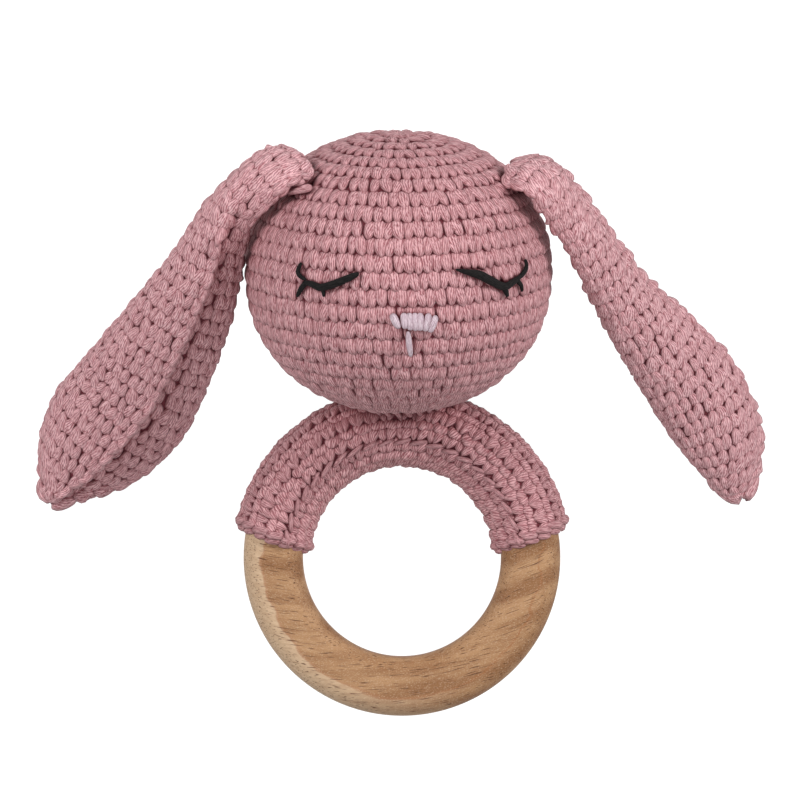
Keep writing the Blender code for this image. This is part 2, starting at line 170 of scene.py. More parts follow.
LEFT_EAR = (
    ((-21.5, 52.8, 46.0), 12.2, 3.6, 48),
    ((-24.8, 51.6, 47.6), 12.0, 4.4, 38),
    ((-29.3, 48.2, 47.0), 11.2, 5.4, 26),
    ((-34.8, 42.4, 44.2), 10.6, 6.2, 12),
    ((-39.4, 31.8, 37.6), 14.6, 7.2, 0),
    ((-43.2, 24.2, 32.2), 18.4, 8.0, 0),
    ((-48.7, 14.6, 24.6), 22.4, 8.6, 0),
    ((-54.5, 5.6, 17.0), 25.6, 8.8, 0),
    ((-59.6, -0.4, 12.0), 26.4, 8.6, 0),
    ((-64.5, -6.3, 7.6), 23.0, 7.8, 0),
    ((-68.0, -10.6, 4.7), 17.2, 6.4, 0),
    ((-70.6, -14.1, 2.9), 9.4, 5.0, 0),
)
# Section outlines, as shares of the width and the height, from the edge beside the head.
RIGHT_SECTION = (
    (-0.49, -0.02),
    (-0.40, 0.32),
    (-0.14, 0.50),
    (0.16, 0.42),
    (0.38, 0.14),
    (0.50, -0.26),
    (0.45, -0.48),
    (0.28, -0.22),
    (0.05, -0.04),
    (-0.22, -0.12),
    (-0.40, -0.28),
)
LEFT_SECTION = (
    (-0.51, -0.66),
    (-0.46, -0.46),
    (-0.34, -0.24),
    (-0.20, -0.12),
    (-0.15, 0.06),
    (-0.21, 0.30),
    (-0.12, 0.45),
    (0.14, 0.50),
    (0.40, 0.26),
    (0.51, -0.14),
    (0.42, -0.42),
    (0.10, -0.48),
    (-0.22, -0.58),
    (-0.43, -0.80),
)
LEFT_BASE_SECTION = (
    (-0.52, -0.20),
    (-0.50, 0.00),
    (-0.44, 0.18),
    (-0.34, 0.32),
    (-0.22, 0.42),
    (-0.10, 0.48),
    (0.04, 0.50),
    (0.20, 0.46),
    (0.40, 0.26),
    (0.51, -0.10),
    (0.42, -0.42),
    (0.10, -0.48),
    (-0.25, -0.48),
    (-0.44, -0.40),
)

# Sewing strands at the ears, as two (x, y) ends that are laid on the head, and how high they stand.
SEWING_R = 0.95
LEFT_SEWING = (
    ((-24.6, 49.4), (-17.8, 49.6), 1.9),
    ((-24.0, 48.2), (-19.0, 48.6), 1.8),
    ((-22.6, 46.8), (-17.6, 47.4), 0.9),
)
RIGHT_SEWING = (
    ((21.8, 50.6), (26.4, 50.0), 0.5),
    ((22.0, 48.4), (26.6, 47.4), 0.4),
)

# The ring of stitches that joins the head to the cover.
NECK_HALF_WIDTH = 8.6
NECK_HALF_DEPTH = 5.2
NECK_STITCHES = 26
NECK_KNOTS = 12
NECK_YARN_R = 0.62
NECK_HALF_LENGTH = 2.0
NECK_SLANT = 0.9
NECK_BULGE = 0.8
NECK_CURVE = 0.02  # how fast the ring of stitches falls away over the cover's round back

# Embroidery, as (x, y) points that are laid on the head, and how high its yarn stands.
FACE_STEPS = 8
FACE_KNOTS = 40
EYE_LIFT = 0.35
NOSE_LIFT = 0.25
MOUTH_LIFT = 0.4
NOSE_YARN_R = 0.84
MOUTH_YARN_R = 0.6
# Each black line is its points and its radii, spread evenly along it.
LEFT_EYE = (
    (
        ((-19.3, 28.4), (-17.6, 28.0), (-15.6, 27.3), (-12.4, 28.2), (-8.0, 30.1)),
        (0.6, 0.75, 0.78, 0.75, 0.7),
    ),
    (((-18.7, 28.8), (-20.0, 29.7), (-20.3, 30.8), (-19.6, 32.3)), (0.4, 0.45, 0.45, 0.4)),
    (((-18.3, 28.3), (-19.4, 27.5), (-20.6, 25.4)), (0.6, 0.55, 0.4)),
    (((-15.3, 27.2), (-15.1, 25.4)), (0.55, 0.3)),
)
RIGHT_EYE = (
    (
        ((11.0, 30.9), (13.1, 30.4), (15.9, 29.8), (18.4, 28.6), (21.0, 27.5), (23.1, 28.7), (24.7, 30.0)),
        (0.3, 0.6, 0.92, 0.9, 0.82, 0.7, 0.55),
    ),
    (((24.1, 29.3), (25.2, 30.7), (25.5, 31.9), (25.2, 33.1)), (0.5, 0.48, 0.46, 0.4)),
    (((20.9, 27.7), (21.7, 25.5)), (0.7, 0.4)),
    (((23.5, 28.8), (24.4, 27.8), (24.6, 26.5)), (0.55, 0.45, 0.35)),
)
NOSE_STITCHES = (
    ((-1.6, 22.0), (0.0, 19.1)),
    ((0.8, 22.2), (1.2, 19.0)),
    ((1.9, 22.2), (2.2, 18.7)),
    ((3.0, 22.2), (3.2, 18.6)),
    ((4.1, 22.2), (4.1, 18.6)),
    ((5.9, 22.1), (5.0, 18.5)),
    ((7.3, 21.7), (6.0, 18.3)),
)
MOUTH_STITCH = ((1.7, 18.6), (1.9, 16.2), (2.3, 13.4))

# Colours, as display values from 0 to 255. Each yarn has its own, its painted shade and painted highlight
# for the lines along its plies, its painted shade deep in the gaps, and then its sheen.
# Painted shade deep in the gaps between the stitches.
GAP_SHADE_RED = (104, 36, 46)
YARNS = {
    "head_cotton": ((204, 147, 151), (151, 84, 91), (237, 187, 191), GAP_SHADE_RED, 0.06),
    "ear_cotton": ((221, 164, 169), (166, 96, 104), (250, 204, 208), GAP_SHADE_RED, 0.06),
    "cover_cotton": ((202, 145, 149), (148, 82, 89), (234, 184, 187), GAP_SHADE_RED, 0.06),
    "black_yarn": ((16, 14, 14), (7, 6, 6), (40, 36, 36), (5, 4, 4), 0.0),
    "pale_yarn": ((230, 206, 216), (190, 158, 172), (246, 228, 236), (150, 104, 114), 0.06),
}
# Painted shade seen between the stitches, on the sheet behind them.
BACKING_SHADE_COLOUR = (108, 46, 55)
WOOD_DARK = (144, 101, 65)
WOOD_LIGHT = (180, 139, 100)
# Painted highlight on the ring's outer side towards the left, and the brown band along its edge.
WOOD_PAINTED_HIGHLIGHT = (204, 174, 142)
WOOD_HIGHLIGHT_EDGE = (158, 96, 52)
WOOD_LINE = (138, 92, 60)
WOOD_GRIT = (222, 198, 168)
WOOD_FLECK = (86, 50, 32)

# Camera and lights, in metres and watts.
CAMERA_LENS = 400
CAMERA_SENSOR = 36
VIEW_WIDTH = 0.1633
VIEW_MIDDLE = (0.0001, 0.0048, 0.02)
LIGHT_AIM = (0, 0, 0.02)
# Each light is its name, place, size and power.
LIGHTS = (
    ("left", (-0.75, 0.45, 0.75), 0.35, 6.0),
    ("right", (0.80, 0.42, 0.60), 0.3, 6.6),
    ("low", (0.05, -0.40, 1.05), 0.4, 3.9),
)
WORLD_STRENGTH = 0.27
FLOOR_REACH = 2.0


def unit(vectors):
    return vectors / np.maximum(np.linalg.norm(vectors, axis=-1, keepdims=True), 1e-9)


def distance_along(points):
    """How far along a line of points each one is."""
    return np.concatenate([[0], np.cumsum(np.linalg.norm(np.diff(points, axis=0), axis=1))])


def new_object(name, data):
    obj = bpy.data.objects.new(name, data)
    bpy.context.collection.objects.link(obj)
    return obj


# ---------------------------------------------------------------- materials


class Nodes:
    """Short calls for building one material's node tree."""

    def __init__(self, name):
        self.material = bpy.data.materials.new(name)
        self.material.use_nodes = True
        self.tree = self.material.node_tree
        self.shader = self.tree.nodes["Principled BSDF"]

    def add(self, kind, **settings):
        node = self.tree.nodes.new(kind)
        for key, value in settings.items():
            setattr(node, key, value)
        return node

    def link(self, source, target):
        self.tree.links.new(source, target)

    def feed(self, node, **inputs):
        for key, value in inputs.items():
            socket = node.inputs[key.replace("_", " ")]
            if isinstance(value, bpy.types.NodeSocket):
                self.link(value, socket)
            else:
                socket.default_value = value
        return node

    def maths(self, operation, a, b=None, clamp=False):
        node = self.add("ShaderNodeMath", operation=operation, use_clamp=clamp)
        for socket, value in zip(node.inputs, (a, b)):
            if isinstance(value, bpy.types.NodeSocket):
                self.link(value, socket)
            elif value is not None:
                socket.default_value = value
        return node.outputs[0]

    def ramp(self, value, gain, base, clamp=True):
        """value * gain + base, held between 0 and 1 where clamp is set."""
        result = self.maths("MULTIPLY_ADD", value, gain, clamp=clamp)
        result.node.inputs[2].default_value = base
        return result

    def openness(self, reach):
        """How open the air is within a reach in millimetres: 0 is shut in and 1 is free."""
        node = self.feed(self.add("ShaderNodeAmbientOcclusion", samples=6), Distance=reach * MM)
        return node.outputs["AO"]

    def mix(self, factor, a, b, blend="MIX"):
        node = self.add("ShaderNodeMix", data_type="RGBA", blend_type=blend)
        for socket, value in zip((node.inputs[0], node.inputs[6], node.inputs[7]), (factor, a, b)):
            if isinstance(value, bpy.types.NodeSocket):
                self.link(value, socket)
            elif isinstance(value, tuple):
                socket.default_value = (*value, 1.0)
            else:
                socket.default_value = value
        return node.outputs[2]


def linear(*srgb):
    """Linear colour from 0 to 255 display values."""
    return tuple(((v / 255 + 0.055) / 1.055) ** 2.4 if v > 10 else v / 255 / 12.92 for v in srgb)


def yarn_look(name, colour, shade, ply_highlight, deep, sheen):
    """Plied cotton with painted light and shade: lines along the strand, redder near other pieces, deep
    red in gaps.
    """
    n = Nodes(name)
    strand_map = n.add("ShaderNodeUVMap", uv_map="strand")
    split = n.feed(n.add("ShaderNodeSeparateXYZ"), Vector=strand_map.outputs[0])
    around = split.outputs["X"]
    along = split.outputs["Y"]
    stretched = n.add("ShaderNodeCombineXYZ")
    n.feed(stretched, X=n.maths("MULTIPLY", around, 30.0), Y=n.maths("MULTIPLY", along, 0.55))
    noise = n.feed(n.add("ShaderNodeTexNoise"), Vector=stretched.outputs[0], Scale=1.0)
    n.feed(noise, Detail=2.0, Roughness=0.6)
    fibre = noise.outputs["Fac"]
    # Painted highlight and painted shade: light and dark lines that wind along the plies.
    plies = n.maths("MULTIPLY", around, 16.0)
    twist = n.maths("MULTIPLY", along, 0.5)
    loose = n.maths("MULTIPLY", fibre, 2.2)
    phase = n.maths("MULTIPLY", n.maths("ADD", n.maths("ADD", plies, twist), loose), math.tau)
    ply = n.ramp(n.maths("SINE", phase), 0.5, 0.5, clamp=False)
    half_ply = n.maths("MULTIPLY", ply, 0.5)
    mixed = n.maths("ADD", half_ply, fibre)
    body = n.mix(n.ramp(n.maths("SUBTRACT", mixed, 0.75), 1.9, 0.5), shade, ply_highlight)
    tone = n.add("ShaderNodeAttribute", attribute_name="tone")
    varied = n.mix(n.maths("MULTIPLY", tone.outputs["Fac"], 0.35), body, colour)
    # Painted shade: yarn shut in by a neighbouring piece is darkened and reddened by the tint.
    shelter_shaded = n.mix(1.0, varied, SHELTER_SHADE_TINT, "MULTIPLY")
    lit = n.mix(n.ramp(n.openness(SHELTER_SHADE_REACH), 1.9, -0.45), shelter_shaded, varied)
    # Painted shade: yarn shut in by other yarn turns its deep gap colour.
    final = n.mix(n.ramp(n.openness(CREVICE_SHADE_REACH), 2.4, -0.65), deep, lit)
    height = n.maths("ADD", half_ply, n.maths("MULTIPLY", fibre, 0.9))
    bump = n.feed(n.add("ShaderNodeBump"), Strength=0.8, Distance=0.00022, Height=height)
    n.feed(n.shader, Base_Color=final, Normal=bump.outputs[0], Roughness=0.85)
    n.feed(n.shader, Specular_IOR_Level=0.25, Sheen_Weight=sheen, Sheen_Roughness=0.5)
    return n.material


def beech_look():
    """Beech turned from a board: streaks, fine lines, grit, short dark flecks, and a painted highlight on
    its outer left side.
    """
    n = Nodes("beech")
    section = n.add("ShaderNodeUVMap", uv_map="section")
    outwards = n.feed(n.add("ShaderNodeSeparateXYZ"), Vector=section.outputs[0]).outputs["X"]
    place = n.add("ShaderNodeTexCoord")
    where = n.feed(n.add("ShaderNodeSeparateXYZ"), Vector=place.outputs["Object"])
    x = where.outputs["X"]
    bow = n.maths("MULTIPLY", n.maths("MULTIPLY", x, x), 5.4)
    level = n.maths("SUBTRACT", where.outputs["Y"], n.maths("ADD", n.maths("MULTIPLY", x, 0.1), bow))
    grain = n.feed(n.add("ShaderNodeCombineXYZ"), X=x, Y=level, Z=where.outputs["Z"])

    def streaks(along, over, detail=2.0):
        scaled = n.feed(n.add("ShaderNodeMapping"), Vector=grain.outputs[0], Scale=(along, over, over))
        noise = n.feed(n.add("ShaderNodeTexNoise"), Vector=scaled.outputs[0], Scale=1.0, Detail=detail)
        return noise.outputs["Fac"]

    broad = n.maths("SUBTRACT", streaks(45.0, 260.0), 0.5)
    fine = streaks(260.0, 1700.0)
    speck = streaks(3000.0, 5200.0, 0.0)
    fleck = streaks(300.0, 5200.0, 0.0)
    # Painted highlight: the ring's outer side, its edge wandering with the streaks, paler towards the left
    # as if lit from there.
    layer = n.maths("ADD", outwards, n.maths("MULTIPLY", broad, 3.0))
    outer_highlight = n.ramp(n.maths("SUBTRACT", layer, 2.1), 1.4, 0.5)
    left = n.ramp(x, -32.0, 0.45)
    rim = n.maths("MULTIPLY", n.maths("MULTIPLY", outer_highlight, n.maths("SUBTRACT", 1.0, outer_highlight)), 3.0)
    body = n.mix(n.ramp(broad, 4.0, 0.5), linear(*WOOD_DARK), linear(*WOOD_LIGHT))
    body = n.mix(n.maths("MULTIPLY", outer_highlight, left), body, linear(*WOOD_PAINTED_HIGHLIGHT))
    # A brown band along the painted highlight's edge.
    body = n.mix(n.maths("MULTIPLY", rim, 0.55), body, linear(*WOOD_HIGHLIGHT_EDGE))
    lines = n.ramp(n.maths("SUBTRACT", fine, 0.5), 2.4, 0.35)
    body = n.mix(n.maths("MULTIPLY", lines, 0.4), body, linear(*WOOD_LINE))
    body = n.mix(n.maths("SUBTRACT", speck, 0.52, clamp=True), body, linear(*WOOD_GRIT))
    dark = n.maths("MULTIPLY", n.maths("SUBTRACT", fleck, 0.66), 12.0, clamp=True)
    final = n.mix(n.maths("MULTIPLY", dark, 0.85), body, linear(*WOOD_FLECK))
    bump = n.feed(n.add("ShaderNodeBump"), Strength=0.4, Distance=0.0001, Height=fine)
    n.feed(n.shader, Base_Color=final, Normal=bump.outputs[0], Roughness=0.62)
    n.feed(n.shader, Specular_IOR_Level=0.3)
    return n.material


def backing_shade_look():
    """Painted shade: a dull dark red sheet that shows between the stitches."""
    n = Nodes("backing_painted_shade")
    n.feed(n.shader, Base_Color=(*linear(*BACKING_SHADE_COLOUR), 1), Roughness=1.0)
    return n.material


def floor_look():
    """Plain white that gives off its own light."""
    n = Nodes("floor")
    n.feed(n.shader, Base_Color=(0.2, 0.2, 0.2, 1), Roughness=1.0, Specular_IOR_Level=0.0)
    n.feed(n.shader, Emission_Color=(1, 1, 1, 1), Emission_Strength=1.0)
    return n.material


# ---------------------------------------------------------------- meshes


def tubes(name, path, normal, half_width, half_height, sides, tone, look):
    """One mesh of closed tubes. path and normal are (tubes, rings, 3), and the sizes (tubes, rings)."""
    count, rings = path.shape[:2]
    run = unit(np.gradient(path, axis=1))
    across = unit(np.cross(run, normal))
    up = np.cross(across, run)
    turn = np.arange(sides) * math.tau / sides
    offset = (
        across[:, :, None] * (np.cos(turn)[None, None, :, None] * half_width[..., None, None])
        + up[:, :, None] * (np.sin(turn)[None, None, :, None] * half_height[..., None, None])
    )
    points = (path[:, :, None] + offset).reshape(-1, 3) * MM
    ring = np.arange(rings - 1)[:, None] * sides
    side = np.arange(sides)[None]
    ahead = (side + 1) % sides
    quad = np.stack([ring + side, ring + ahead, ring + sides + ahead, ring + sides + side], -1)
    first = np.arange(count)[:, None, None] * rings * sides
    quads = (first + quad.reshape(1, -1, 4)).reshape(-1, 4)
    caps_low = (first[:, 0] + side[:, ::-1]).reshape(-1, sides)
    caps_high = (first[:, 0] + (rings - 1) * sides + side).reshape(-1, sides)
    corners = np.concatenate([quads.ravel(), caps_low.ravel(), caps_high.ravel()])
    totals = np.concatenate([np.full(len(quads), 4), np.full(2 * count, sides)])
    starts = np.concatenate([[0], np.cumsum(totals)[:-1]])
    mesh = bpy.data.meshes.new(name)
    mesh.vertices.add(len(points))
    mesh.vertices.foreach_set("co", points.ravel().astype(np.float32))
    mesh.loops.add(len(corners))
    mesh.loops.foreach_set("vertex_index", corners.astype(np.int32))
    mesh.polygons.add(len(totals))
    mesh.polygons.foreach_set("loop_start", starts.astype(np.int32))
    mesh.update(calc_edges=True)
    steps = np.linalg.norm(np.diff(path, axis=1), axis=-1)
    length = np.concatenate([np.zeros((count, 1)), np.cumsum(steps, axis=1)], axis=1)
    length += RNG.random((count, 1)) * FIBRE_SHIFT
    along = np.repeat(length[:, :, None], sides, axis=2).reshape(-1)[corners]
    around = np.tile(np.arange(sides) / sides, count * rings)[corners]
    turns = np.tile(np.array([0, 1, 1, 0]), (len(quads), 1))
    around[: len(quads) * 4] = ((quads[:, :1] % sides + turns) / sides).ravel()
    layer = mesh.uv_layers.new(name="strand")
    layer.data.foreach_set("uv", np.stack([around, along], -1).ravel().astype(np.float32))
    shade = mesh.attributes.new("tone", "FLOAT", "POINT")
    shade.data.foreach_set("value", np.repeat(tone, rings * sides).astype(np.float32))
    mesh.shade_smooth()
    mesh.materials.append(look)
    return new_object(name, mesh)


def lay_tubes(name, surface, u, v, lift, half_width, half_height, look, tone):
    """Tubes laid on a surface: u, v and lift are (tubes, rings), and the sizes follow them."""
    point, normal = surface(u, v)
    path = point + normal * lift[..., None]
    return tubes(name, path, normal, half_width, half_height, LEG_SIDES, tone, look)


def skin(name, surface, u, v, inset, look, closed=True):
    """The sheet behind the stitches, dark as painted shade in the gaps: a grid on the surface, sunk by
    inset.
    """
    across, along = np.meshgrid(u, v)
    point, normal = surface(across, along)
    point = (point - normal * inset).reshape(-1, 3) * MM
    wide = len(u)
    faces = []
    for row in range(len(v) - 1):
        here = row * wide
        there = here + wide
        for column in range(wide if closed else wide - 1):
            after = (column + 1) % wide
            faces.append((here + column, here + after, there + after, there + column))
    if closed:
        faces.append(tuple(range(wide))[::-1])
        faces.append(tuple(range((len(v) - 1) * wide, len(v) * wide)))
    mesh = bpy.data.meshes.new(name)
    mesh.from_pydata([tuple(p) for p in point], [], faces)
    mesh.shade_smooth()
    mesh.materials.append(look)
    return new_object(name, mesh)


def strand(name, paths, radii, look, ends=0.35):
    """Plump strands along equally long (points, normals) paths, each with its own radii.

    The radii are spread evenly along a strand, and ends is how much thinner its two ends are.
    """
    path = np.array([points for points, _ in paths])
    normal = np.array([normals for _, normals in paths])
    place = np.linspace(0, 1, path.shape[1])
    off_middle = 2 * place - 1
    taper = np.clip(1 - np.abs(off_middle) ** 8, 0, 1) ** 0.5 * (1 - ends * off_middle**2) + 0.02
    size = []
    for radius in radii:
        radius = np.atleast_1d(radius)
        size.append(np.interp(place, np.linspace(0, 1, len(radius)), radius) * taper)
    size = np.array(size)
    return tubes(name, path, normal, size, size * 0.9, STRAND_SIDES, RNG.random(len(path)), look)


# ---------------------------------------------------------------- surfaces


def head_outline(count=400):
    """The head's outline from the crown to the neck: distance run, radius and height."""
    angle = np.linspace(math.pi / 2, -math.pi / 2, count)
    share = 2 / HEAD_POWER
    radius = HEAD_R * np.abs(np.cos(angle)) ** share
    height = HEAD_HALF_LENGTH * np.sign(np.sin(angle)) * np.abs(np.sin(angle)) ** share
    run = np.concatenate([[0], np.cumsum(np.hypot(np.diff(radius), np.diff(height)))])
    return run, radius, height


HEAD_RUN, HEAD_RADIUS, HEAD_HEIGHT = head_outline()


def head_surface(turn, run):
    """Points and normals on the head, at shares of a turn and millimetres down from the crown."""
    radius = np.interp(run, HEAD_RUN, HEAD_RADIUS)[..., None]
    height = np.interp(run, HEAD_RUN, HEAD_HEIGHT)[..., None]
    angle = turn[..., None] * math.tau
    outward = HEAD_SIDE * np.sin(angle) + HEAD_FRONT * np.cos(angle)
    point = HEAD_CENTRE + outward * radius + HEAD_UP * height
    power = HEAD_POWER - 1
    slope_out = (radius / HEAD_R) ** power / HEAD_R
    slope_up = np.sign(height) * (np.abs(height) / HEAD_HALF_LENGTH) ** power / HEAD_HALF_LENGTH
    return point, unit(outward * slope_out + HEAD_UP * slope_up)


def on_head(points, lift):
    """Points of the head's front over (x, y) points, standing lift above it, and their normals."""
    points = np.asarray(points, float)
    low = np.zeros(len(points))
    high = np.full(len(points), HEAD_R * 1.2)
    for _ in range(30):
        rise = (low + high) / 2
        offset = np.column_stack([points, HEAD_CENTRE[2] + rise]) - HEAD_CENTRE
        across = np.hypot(offset[:, 0], offset @ HEAD_FRONT) / (HEAD_R + lift)
        along = np.abs(offset @ HEAD_UP) / (HEAD_HALF_LENGTH + lift)
        inside = across**HEAD_POWER + along**HEAD_POWER < 1
        low = np.where(inside, rise, low)
        high = np.where(inside, high, rise)
    offset = np.column_stack([points, HEAD_CENTRE[2] + low]) - HEAD_CENTRE
    up = offset @ HEAD_UP
    out = offset - up[:, None] * HEAD_UP
    power = HEAD_POWER - 2
    across = np.linalg.norm(out, axis=1, keepdims=True)
    slope = out * (across / HEAD_R) ** power / HEAD_R**2
    rise = (up * (np.abs(up) / HEAD_HALF_LENGTH) ** power / HEAD_HALF_LENGTH**2)[:, None] * HEAD_UP
    return HEAD_CENTRE + offset, unit(slope + rise)


def smooth_path(points, steps, closed=False):
    """A Catmull-Rom curve through points of any dimension, with steps samples a stretch."""
    points = np.asarray(points, float)
    count = len(points)
    stretches = np.arange(count if closed else count - 1)
    share = np.arange(steps)[None, :, None] / steps

    def at(shift):
        index = stretches + shift
        index = index % count if closed else np.clip(index, 0, count - 1)
        return points[index][:, None]

    a, b, c, d = at(-1), at(0), at(1), at(2)
    bend = 2 * a - 5 * b + 4 * c - d
    twist = 3 * b - a - 3 * c + d
    path = 0.5 * (2 * b + (c - a) * share + bend * share**2 + twist * share**3)
    path = path.reshape(-1, points.shape[1])
    return path if closed else np.concatenate([path, points[-1:]])


class Sleeve:
    """A closed skin over rings of points: u is the share round it, v is millimetres along it."""

    def __init__(self, rings, samples=96):
        evened = []
        lengths = []
        for ring in rings:
            closed = np.concatenate([ring, ring[:1]])
            run = distance_along(closed)
            where = np.arange(samples) / samples * run[-1]
            evened.append(np.column_stack([np.interp(where, run, closed[:, k]) for k in range(3)]))
            lengths.append(run[-1])
        self.rings = np.array(evened)
        self.perimeter = np.array(lengths)
        middle = self.rings.mean(axis=1)
        self.run = distance_along(middle)
        around = np.roll(self.rings, -1, axis=1) - np.roll(self.rings, 1, axis=1)
        along = np.gradient(self.rings, axis=0)
        normal = unit(np.cross(around, along))
        outward = np.sum(normal * (self.rings - middle[:, None]))
        self.normal = normal if outward > 0 else -normal

    def __call__(self, u, v):
        count, samples = self.rings.shape[:2]
        row = np.interp(v, self.run, np.arange(count))
        low = np.clip(np.floor(row).astype(int), 0, count - 2)
        part = (row - low)[..., None]
        column = (u % 1.0) * samples
        first = np.floor(column).astype(int) % samples
        after = (first + 1) % samples
        share = (column - np.floor(column))[..., None]

        def blend(grid):
            lower = grid[low, first] * (1 - share) + grid[low, after] * share
            upper = grid[low + 1, first] * (1 - share) + grid[low + 1, after] * share
            return lower * (1 - part) + upper * part

        return blend(self.rings), unit(blend(self.normal))


def round_end(rings, reach):
    """Shrinking rings that close a skin's last end over a reach."""
    last = rings[-1]
    middle = last.mean(axis=0)
    ahead = unit(middle - rings[-2].mean(axis=0))
    shares = np.sin(np.linspace(0.2, 1.48, 7))[:, None, None]
    return middle + (last - middle) * np.sqrt(1 - shares**2) + ahead * reach * shares


def ear_rings(stations, base_outline, outline, mirror, tip_reach):
    """Rings of points along an ear. Each stands square to the ear's run, and both ends are rounded."""
    knots = smooth_path([(*centre, *size) for centre, *size in stations], EAR_STEPS)
    base_shape = smooth_path(base_outline, EAR_STEPS, closed=True)
    body_shape = smooth_path(outline, EAR_STEPS, closed=True)
    place = np.linspace(0, 1, len(knots))
    fold = np.clip((place - EAR_FOLD[0]) / (EAR_FOLD[1] - EAR_FOLD[0]), 0, 1)
    fold = (fold**2 * (3 - 2 * fold))[:, None, None]
    shape = base_shape[None] * (1 - fold) + body_shape[None] * fold
    centre = knots[:, :3]
    run = unit(np.gradient(centre, axis=0))
    across = unit(np.cross(run, (0, 0, 1))) * -mirror
    rise = unit(np.cross(run, across)) * -mirror
    rise *= np.sign(rise[:, 2:])
    roll = np.radians(knots[:, 5:6])
    across, rise = (
        across * np.cos(roll) - rise * np.sin(roll),
        rise * np.cos(roll) + across * np.sin(roll),
    )
    wide = across[:, None] * shape[..., :1] * knots[:, 3, None, None]
    high = rise[:, None] * shape[..., 1:] * knots[:, 4, None, None]
    rings = centre[:, None] + wide + high
    root = round_end(rings[::-1], EAR_ROOT_REACH)[::-1]
    rings = np.concatenate([root, rings, round_end(rings, tip_reach)])
    sag = (GROUND_GAP + GROUND_EASE - rings[..., 2]) / GROUND_EASE
    rings[..., 2] = np.where(sag > 0, GROUND_GAP + GROUND_EASE * (1 - np.tanh(sag)), rings[..., 2])
    return rings


def cover_surface(share, run):
    """Points and normals on the ring's cover: share of its length, millimetres round its section."""
    angle = run / COVER_R
    out = COVER_OFFSET + COVER_R * np.cos(angle)
    slope = (np.cos(angle) + 1) / 2
    start = np.radians(COVER_END_DEG[0] + (COVER_END_DEG[1] - COVER_END_DEG[0]) * slope)
    turn = start + (math.pi - 2 * start) * share
    radial = np.stack([np.cos(turn), np.sin(turn), np.zeros_like(turn)], -1)
    rise = np.array([0.0, 0.0, 1.0])
    centre = RING_CENTRE + radial * (RING_MID_R + out)[..., None]
    point = centre + rise * (COVER_R * np.sin(angle))[..., None]
    return point, radial * np.cos(angle)[..., None] + rise * np.sin(angle)[..., None]


# ---------------------------------------------------------------- stitches

LEG_KNOTS = 9
ALONG = np.linspace(0, 1, LEG_KNOTS)
ENDS = np.clip(1 - np.abs(2 * ALONG - 1) ** 3.2, 0.06, 1) ** 0.5


def leg_shapes(splay, relief):
    """The two legs of a stitch: across and along in stitch shares, lift, and share of full width.

    Both legs start together, low, under the round before. They crown in the middle of their own
    round and spread to two narrower feet, and a splayed stitch leaves a hole between its feet.
    """
    legs = []
    for side, raised, size in ((-1, -0.05, 1.0), (1, 0.05, 1.06)):
        x = side * (0.12 + (0.08 + 0.12 * splay) * ALONG)
        y = -0.2 + 1.3 * ALONG
        lift = raised - LEG_HALF_HEIGHT - relief * (0.8 * (1 - ALONG) ** 2 + 0.35 * ALONG**5)
        width = size * (1.52 - (0.25 + 0.55 * splay) * ALONG**1.4) * ENDS
        legs.append((x, y, lift, width))
    return legs


def stray(amount, count):
    """A random offset for each of count strands."""
    return RNG.normal(0, amount, (count, 1))


def crochet(name, surface, rounds, look, lean, relief):
    """Rounds of single crochet, each (stitches, start, depth, first, span, scale, splay)."""
    u, v, lift, wide, high, tone = [], [], [], [], [], []
    for stitches, start, deep, first, span, scale, splay in rounds:
        step = span / stitches
        centre = first + (np.arange(stitches)[:, None] + 0.5) * step
        push = stray(0.03, stitches)
        for x, y, leg_lift, width in leg_shapes(splay, relief):
            shift = push + stray(0.02, stitches)
            swing = stray(0.06, stitches) * (y - 0.4)
            u.append(centre + (x + lean * (y - 0.5) + shift + swing) * step)
            v.append(start + (y + stray(0.035, stitches)) * deep)
            lift.append(leg_lift + stray(0.06, stitches))
            wide.append(LEG_HALF_WIDTH * scale * (width * (1 + stray(0.07, stitches))))
            height = LEG_HALF_HEIGHT * np.sqrt(scale) * ENDS**0.6
            high.append(height * (1 + stray(0.05, stitches)))
            tone.append(RNG.random(stitches))
    joined = [np.concatenate(values) for values in (u, v, lift, wide, high)]
    return lay_tubes(name, surface, *joined, look, np.concatenate(tone))


def cover_chain(name, u, v, reach_u, reach_v, lift, radius, look):
    """Overlapping strands on the cover, each reaching both ways from its own (u, v) point."""
    share = np.linspace(-0.5, 0.5, LEG_KNOTS)
    count = len(u)
    wobble = 1 + stray(0.12, count)
    lines = (u[:, None] + share * reach_u * wobble, v[:, None] + share * reach_v * wobble)
    taper = np.clip(1 - np.abs(2 * share) ** 3, 0.05, 1) ** 0.5
    size = radius * taper * (1 + stray(0.08, count))
    arch = lift - 0.5 * radius * (2 * share) ** 2 + np.zeros((count, 1))
    return lay_tubes(name, cover_surface, *lines, arch, size, size, look, RNG.random(count))


# ---------------------------------------------------------------- pieces


def settle(piece, body, slot, *nodes):
    """Says which body a piece rides, if it rides one, and the nodes it replaces. slot is not used."""
    if body:
        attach(piece, body)
    if nodes:
        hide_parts(*nodes)


def head_rounds():
    total = HEAD_RUN[-1]
    count = round(total / ROUND_DEEP)
    deep = total / count
    rounds = []
    drift = 0.0
    for i in range(count):
        radius = np.interp((i + 0.5) * deep, HEAD_RUN, HEAD_RADIUS)
        stitches = HEAD_INCREASE * round(math.tau * radius / STITCH_WIDE / HEAD_INCREASE)
        stitches = min(max(stitches, HEAD_INCREASE), HEAD_MOST_STITCHES)
        drift += (HEAD_DRIFT + RNG.uniform(-HEAD_DRIFT_SPREAD, HEAD_DRIFT_SPREAD)) / stitches
        rounds.append((stitches, i * deep, deep, drift, 1.0, 1.0, 1.0))
    return rounds


